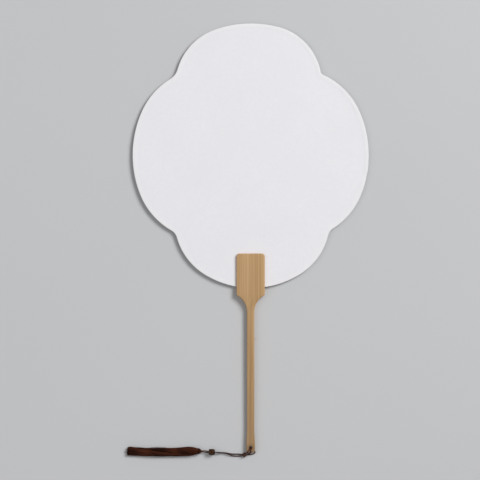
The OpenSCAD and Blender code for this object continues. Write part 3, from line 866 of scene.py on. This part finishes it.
def fold_stations(inward):
    """Places across the folded strip from its front edge over the rim to its back edge: share of the
    width, distance in from the rim and height."""
    r = FOLD_R - inward
    flats = [(s, 0, RIM_HALF - inward) for s in FLAT_SHARES]
    turns = [math.radians(a) for a in FOLD_DEGREES]
    corner = [(0, FOLD_R - r * math.sin(a), RIM_HALF - FOLD_R + r * math.cos(a)) for a in turns]
    front = flats + corner
    return front + [(s, d, -h) for s, d, h in reversed(front)]


def folded_strip(edge, way, widths, lift, crimp, skew):
    """A paper strip folded over the rim: rows of points across it, one for each point of the edge."""
    across = np.array(fold_stations(0) + fold_stations(STRIP_T)[::-1])
    share, inset, height = across.T
    side = np.sign(height)
    width = np.where(side > 0, widths[0][:, None], widths[1][:, None])
    sprung = lift[:, None] * (1 - (1 - LIFT_LEFT) * share)
    d = share * width + inset - sprung * (share == 0)
    h = height + side * (sprung + crimp[:, None] * np.clip(d / width, 0, 1) ** 2)
    xy = edge[:, None] - outward(way)[:, None] * d[..., None] + way[:, None] * (skew[:, None] * d)[..., None]
    return np.concatenate([xy, (MID_Z + h + warp(xy))[..., None]], -1)


# The strip's length round the face, the points along it and a sheet's edge, and how its width changes
RIM_LENGTH, RIM_POINTS, SHEET_POINTS = 0.85, 1150, 700
WIDTH_CHANGES = (RIM_LENGTH / 9, 0.22 * MM), (RIM_LENGTH / 61, 0.07 * MM)
# Small creases where it turns, and the seeds of all these
CRIMPS, CRIMP_GROUPS = (RIM_LENGTH / 150, 0.05 * MM), (RIM_LENGTH / 13, 0.6)
FRONT_SEEDS, BACK_SEEDS, CRIMP_SEEDS = (1, 10), (2, 11), (3, 4)
# The lap: lift of its lower end and over what length, slant, and how much narrower it is
LAP_LIFT, LAP_LIFT_OVER, LAP_SLANT, LAP_LEAN, LAP_NARROWER = 0.2 * MM, 2.6 * MM, 0.25, 0.12, 0.15 * MM


def strip_width(along, seeds):
    changes = [wander(along, *change, seed) for change, seed in zip(WIDTH_CHANGES, seeds)]
    return STRIP_W + changes[0] + changes[1]


def rim_fold(material):
    """The white strip over the rim, cut and smoothed down by hand, and its lap on the right."""
    inner = paper_edge(RIM_POINTS)
    way = closed_way(inner)
    edge = inner + STRIP_T * outward(way)
    along = np.linspace(0, RIM_LENGTH, len(edge), endpoint=False)
    none = np.zeros(len(edge))
    widths = [strip_width(along, FRONT_SEEDS), strip_width(along, BACK_SEEDS)]
    creases = np.maximum(wander(along, *CRIMPS, CRIMP_SEEDS[0]), 0)
    crimp = creases * (1 + wander(along, *CRIMP_GROUPS, CRIMP_SEEDS[1]))
    strip = folded_strip(edge, way, widths, none, crimp, none)
    rows, columns = strip.shape[:2]
    parts = [(strip, grid_faces(rows, columns, close_rows=True))]
    lap = np.where((edge[:, 0] > 0) & (edge[:, 1] > LAP_LOW) & (edge[:, 1] < LAP_HIGH))[0]
    lap = lap[np.argsort(edge[lap, 1])]
    up = edge[lap, 1] - LAP_LOW
    lift = STRIP_T + LAP_LIFT * (1 - smooth_step(up / LAP_LIFT_OVER))
    skew = LAP_SLANT * (1 - up / (LAP_HIGH - LAP_LOW)) - LAP_LEAN
    narrower = [w[lap] - LAP_NARROWER for w in widths]
    top = folded_strip(edge[lap], way[lap], narrower, lift, crimp[lap], skew)
    parts.append((top, loft_faces(len(lap), columns)))
    piece = mesh_object("rim_fold", *joined(parts))
    finish_piece(piece, material, "rim_paper", "root", "rim_strip")


def boards(paper, back, card):
    edge = paper_edge(SHEET_POINTS)
    out = CARD_T / 2 + PAPER_T
    finish_piece(board("card_board", edge, -CARD_T / 2, CARD_T / 2), card, "card", "root", "face_card")
    finish_piece(board("paper_front", edge, CARD_T / 2, out), paper, "paper", "root", "front_paper")
    finish_piece(board("paper_back", edge, -out, -CARD_T / 2), back, "paper", "root", "back_paper")


# The handle

HEAD_W, GRIP_W, BUTT_W = 28.3 * MM, 7.5 * MM, 8.8 * MM
HEAD_SIDE_L, HEAD_T, GRIP_T, BUTT_T = 40.4 * MM, 7 * MM, 5.4 * MM, 4 * MM
HEAD_TOP_R, HEAD_LOW_R, NECK_R, BUTT_R, EDGE_R = 3 * MM, 2 * MM, 19 * MM, 1.5 * MM, 1.1 * MM
FLARE_L, BUTT_L = 18 * MM, 6 * MM
WELD = 0.002 * MM
# Rings along the handle, the crown of its front and how its sides wander
HANDLE_RINGS, CROWN, SIDE_WAVE, SIDE_WANDER, SIDE_SEED = 460, 0.18 * MM, 90 * MM, 0.05 * MM, 21
# Steps along its flare and neck, and degrees between points round its corners
SIDE_STEPS, CORNER_STEP = 16, 6
# Degrees round an edge, points across front and back, and the most an edge takes of the half thickness
EDGE_DEGREES, FRONT_POINTS, BACK_POINTS, EDGE_MOST = (0, 15, 30, 45, 60, 75, 90), 15, 9, 0.75
# The hole's worn edges, and how far the cutters reach past the surface
WEAR, PAST = 0.22 * MM, 1 * MM
CORNER_Y = handle_high.y - HEAD_SIDE_L
NECK_DX = GRIP_W / 2 + NECK_R - HEAD_W / 2 + HEAD_LOW_R
NECK_DY = math.sqrt((NECK_R + HEAD_LOW_R) ** 2 - NECK_DX ** 2)
NECK_Y = CORNER_Y - NECK_DY
FLARE_TOP = handle_low.y + BUTT_L + FLARE_L


def ease(u):
    return (1 - np.cos(math.pi * u)) / 2


def bend(middle_x, middle_y, r, angles, out=1, up=1):
    """An arc about a middle, as half width and y; angles are from the x axis."""
    return [(middle_x + out * r * math.cos(a), middle_y + up * r * math.sin(a)) for a in angles]


def handle_side():
    """The handle's outline on its right side, from the butt to the head: half width and y."""
    quarter = [math.radians(a) for a in range(0, 91, CORNER_STEP)]
    neck_a = math.atan2(NECK_DY, NECK_DX)
    shares = [i / SIDE_STEPS for i in range(SIDE_STEPS + 1)]
    butt = bend(BUTT_W / 2 - BUTT_R, handle_low.y + BUTT_R, BUTT_R, [QUARTER - a for a in quarter], up=-1)
    flare_y = handle_low.y + BUTT_L
    flare = [((BUTT_W + (GRIP_W - BUTT_W) * ease(u)) / 2, flare_y + FLARE_L * u) for u in shares]
    neck = bend(GRIP_W / 2 + NECK_R, NECK_Y, NECK_R, [neck_a * u for u in shares], out=-1)
    low = bend(HEAD_W / 2 - HEAD_LOW_R, CORNER_Y, HEAD_LOW_R, [neck_a * (1 - u) for u in shares[1:]], up=-1)
    top = bend(HEAD_W / 2 - HEAD_TOP_R, handle_high.y - HEAD_TOP_R, HEAD_TOP_R, quarter)
    return evenly(butt + flare + neck + low + top, HANDLE_RINGS)


def handle_half_t(y):
    rise = np.clip((y - NECK_Y) / NECK_DY, 0, 1)
    taper = np.clip((y - FLARE_TOP) / (NECK_Y - FLARE_TOP), 0, 1)
    t = BUTT_T + (GRIP_T - BUTT_T) * taper + (HEAD_T - GRIP_T) * ease(rise)
    near_end = EDGE_R - np.minimum(EDGE_R, np.minimum(y - handle_low.y, handle_high.y - y))
    return t / 2 - EDGE_R + np.sqrt(np.maximum(EDGE_R ** 2 - near_end ** 2, 0))


def handle_ring(hw, ht, crown):
    """A rounded rectangle with a slightly crowned front, as x and z, for every ring at once."""
    r = np.minimum(EDGE_R, EDGE_MOST * np.minimum(hw, ht))
    flat = hw - r
    corner = [math.radians(a) for a in EDGE_DEGREES]
    front, back = np.linspace(1, -1, FRONT_POINTS), np.linspace(-1, 1, BACK_POINTS)
    edge_z = ht - crown * (flat / hw) ** 2
    points = [(flat + r * np.cos(a), edge_z - r + r * np.sin(a)) for a in corner[:-1]]
    points += [(flat * s, ht - crown * (flat * s / hw) ** 2) for s in front]
    points += [(-flat - r * np.sin(a), edge_z - r + r * np.cos(a)) for a in corner[1:]]
    points += [(-hw, 0 * hw)]
    points += [(-flat - r * np.cos(a), r - ht - r * np.sin(a)) for a in corner[:-1]]
    points += [(flat * s, -ht) for s in back]
    points += [(flat + r * np.sin(a), r - ht - r * np.cos(a)) for a in corner[1:]]
    points += [(hw, 0 * hw)]
    return np.array(points).transpose(2, 0, 1)


# Points round a turned solid, and a start off the axis, so that none is on a corner of the handle
LATHE_POINTS, LATHE_START = 72, 0.3


def lathe(profile, at):
    """A solid of revolution about an upright axis, from (radius, z) pairs."""
    angle = round_angles(LATHE_POINTS, LATHE_START)
    x, y = np.cos(angle), np.sin(angle)
    rows = [np.column_stack([r * x + at[0], r * y + at[1], np.full(LATHE_POINTS, z)]) for r, z in profile]
    return np.vstack(rows), loft_faces(len(profile), LATHE_POINTS)


def cut(piece, cutters):
    """Cuts each cutter out of the piece, and applies it to the piece's mesh."""
    for cutter in cutters:
        modifier = piece.modifiers.new("cut", "BOOLEAN")
        modifier.operation, modifier.solver, modifier.object = "DIFFERENCE", "EXACT", cutter
    bpy.context.view_layer.update()
    solid = bpy.data.meshes.new_from_object(piece.evaluated_get(bpy.context.evaluated_depsgraph_get()))
    piece.modifiers.clear()
    shape = bmesh.new()
    shape.from_mesh(solid)
    bmesh.ops.remove_doubles(shape, verts=shape.verts, dist=WELD)
    bmesh.ops.dissolve_degenerate(shape, edges=shape.edges, dist=WELD)
    shape.to_mesh(solid)
    shape.free()
    piece.data = solid
    for cutter in cutters:
        bpy.data.objects.remove(cutter)


# A fibre that has lifted from the grip's right edge, in millimetres
SPLINTER = [(3.2, -98.6, 5.2), (3.7, -100.2, 5.4), (4.6, -101.4, 5.5), (5.8, -102.6, 5.4), (7.4, -104, 5.1)]
SPLINTER_R, SPLINTER_RINGS, SPLINTER_ROOT, SPLINTER_TIP = 0.14 * MM, 24, 1.3, 0.35


def splinter():
    line = evenly(through(metres(SPLINTER)), SPLINTER_RINGS)
    radii = SPLINTER_R * np.linspace(SPLINTER_ROOT, SPLINTER_TIP, SPLINTER_RINGS)[None, :]
    return thin_strands(line[None], radii, sides=6)


def handle_body():
    side = handle_side()
    y = side[:, 1]
    hw = side[:, 0] + wander(y, SIDE_WAVE, SIDE_WANDER, SIDE_SEED)
    ring = handle_ring(hw, handle_half_t(y), CROWN)
    rows = np.stack(np.broadcast_arrays(ring[..., 0], y[:, None], MID_Z + ring[..., 1]), -1)
    return mesh_object("bamboo_handle", rows, loft_faces(*ring.shape[:2]))


def slot_cutter():
    """A block in the shape of the slot that the face sits in."""
    low_y = face_low.y - STRIP_T - SLOT_GAP
    around = ((-HEAD_W, low_y), (HEAD_W, low_y), (HEAD_W, 0), (-HEAD_W, 0))
    corners = [(x, y, MID_Z + z) for z in (-SLOT_T / 2, SLOT_T / 2) for x, y in around]
    return mesh_object("slot", corners, loft_faces(2, 4))


def hole_cutter():
    """The cross hole of the butt, with edges that the cord has worn."""
    r, skin = HOLE_D / 2, BUTT_T / 2
    wide = r + WEAR + PAST
    profile = [(wide, -skin - PAST), (r, -skin + WEAR), (r, skin - WEAR), (wide, skin + PAST)]
    return mesh_object("hole", *lathe([(a, MID_Z + b) for a, b in profile], (0, HOLE_Y)))


def handle(material):
    """The handle in one piece, with its slot and hole, and a fibre that has lifted."""
    piece = handle_body()
    cut(piece, [slot_cutter(), hole_cutter()])
    points, faces = splinter()
    add_to(piece, points.reshape(-1, 3), faces)
    piece.data.shade_smooth()
    piece.data.set_sharp_from_angle(angle=math.radians(SHARP_DEG))
    finish_piece(piece, material, "bamboo", "root", "handle")


# The stage

FLOOR_COLOUR, FLOOR_HALF = (0.55, 0.555, 0.565), 15
# Strength of the room's light, and of the room as a camera sees it
ROOM_LIGHT, ROOM_SEEN = 0.33, 0.5
# Where the lamps are, in metres, and how strong: watts, but for the sun
KEY_AT, FILL_AT = (1, 0.75, 1.25), (-1.1, -0.2, 1.3)
SUN_POWER, SUN_DEGREES = 1.35, 25
KEY_POWER, KEY_WIDE, FILL_POWER, FILL_WIDE = 12, 0.9, 4, 1.2


def floor():
    f = Finish("floor", roughness=0.95, specular=0.1)
    cloud = f.remap(f.noise(f.place, scale=3), low=0.3, high=0.7)
    f.done(f.mix(cloud, shade(FLOOR_COLOUR, 0.99), shade(FLOOR_COLOUR, 1.01)))
    corners = [(x * FLOOR_HALF, y * FLOOR_HALF, -FLOOR_GAP) for x, y in ((-1, -1), (1, -1), (1, 1), (-1, 1))]
    thing = mesh_object("floor", corners, [[0, 1, 2, 3]])
    thing.data.materials.append(f.material)


def lamp(name, kind, at, power, **settings):
    """A lamp that shines from its place towards the middle of the floor."""
    data = bpy.data.lights.new(name, kind)
    data.energy = power
    for setting, value in settings.items():
        setattr(data, setting, value)
    thing = placed(name, data)
    thing.location = at
    thing.rotation_mode = "QUATERNION"
    thing.rotation_quaternion = Vector(at).to_track_quat("Z", "Y")


def lights():
    """Soft daylight from the upper right, and a plain room that the camera sees as pale."""
    world = bpy.data.worlds.new("room")
    world.use_nodes = True
    nodes, links = world.node_tree.nodes, world.node_tree.links
    ray = nodes.new("ShaderNodeLightPath")
    seen = nodes.new("ShaderNodeMix")
    seen.inputs["A"].default_value, seen.inputs["B"].default_value = ROOM_LIGHT, ROOM_SEEN
    links.new(ray.outputs["Is Camera Ray"], seen.inputs["Factor"])
    nodes["Background"].inputs["Color"].default_value = (1, 1, 1, 1)
    links.new(seen.outputs["Result"], nodes["Background"].inputs["Strength"])
    bpy.context.scene.world = world
    lamp("sun", "SUN", KEY_AT, SUN_POWER, angle=math.radians(SUN_DEGREES))
    lamp("key", "AREA", KEY_AT, KEY_POWER, shape="DISK", size=KEY_WIDE)
    lamp("fill", "AREA", FILL_AT, FILL_POWER, shape="DISK", size=FILL_WIDE)


# Silks: the dark and the light of their threads, and a painted highlight where light catches them
CORD_SILK = (0.018, 0.005, 0.004), (0.045, 0.014, 0.011), (0.13, 0.045, 0.022)
KNOT_SILK = (0.008, 0.0025, 0.001), (0.026, 0.009, 0.003), (0.15, 0.08, 0.045)
STRAND_SILK = (0.005, 0.001, 0.001), (0.016, 0.0025, 0.0012), (0.1, 0.028, 0.013)
WHITE, BACK_WHITE, RIM_WHITE = (0.8, 0.79, 0.82), (0.77, 0.755, 0.765), (0.81, 0.8, 0.82)

bpy.context.scene.view_settings.view_transform = "Standard"
camera()
cord_silk = silk_finish("cord_silk", *CORD_SILK, across=2600, spots=90)
knot_silk = silk_finish("knot_silk", *KNOT_SILK, across=2600, spots=300)
strand_silk = silk_finish("strand_silk", *STRAND_SILK, across=3000, spots=70)
knot(knot_silk)
legs(cord_silk)
hitch(cord_silk)
link(knot_silk)
tassel(strand_silk)
binding(strand_silk)
boards(paper_finish("white_paper", WHITE), paper_finish("back_paper", BACK_WHITE), card_finish())
rim_fold(paper_finish("rim_paper", RIM_WHITE))
handle(bamboo_finish())
floor()
lights()
